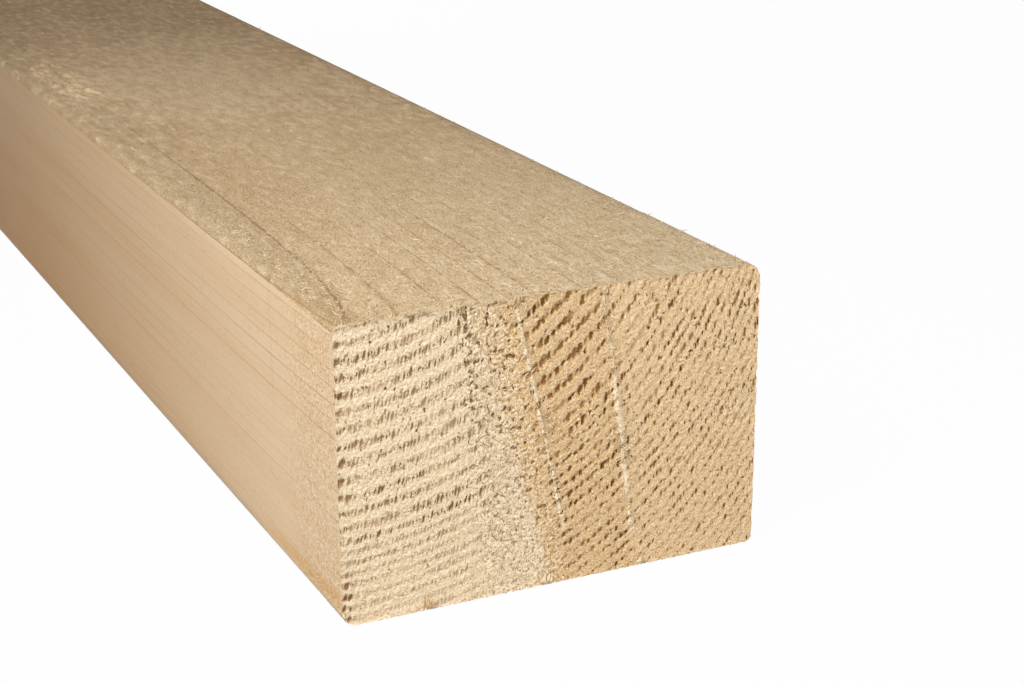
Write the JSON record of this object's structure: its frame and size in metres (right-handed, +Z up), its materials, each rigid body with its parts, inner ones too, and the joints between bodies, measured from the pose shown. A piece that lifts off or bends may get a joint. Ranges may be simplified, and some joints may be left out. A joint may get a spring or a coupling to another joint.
{
  "type": "timber beam",
  "caption": "Straight rectangular softwood beam, planed, with eased arrises and square crosscut ends; carries load in frames, floors and roofs.",
  "frame": {"origin": "middle of the underside, where the beam rests", "axes": "+X along the length towards the end that the picture shows, +Y across the width towards the back face, +Z up"},
  "size_m": [2, 0.12, 0.08],
  "materials": {
    "planed_spruce": "planed, woolly top face and torn crosscut ends"
  },
  "bodies": {
    "root": {"timber_beam": "planed_spruce"}
  },
  "joints": []
}
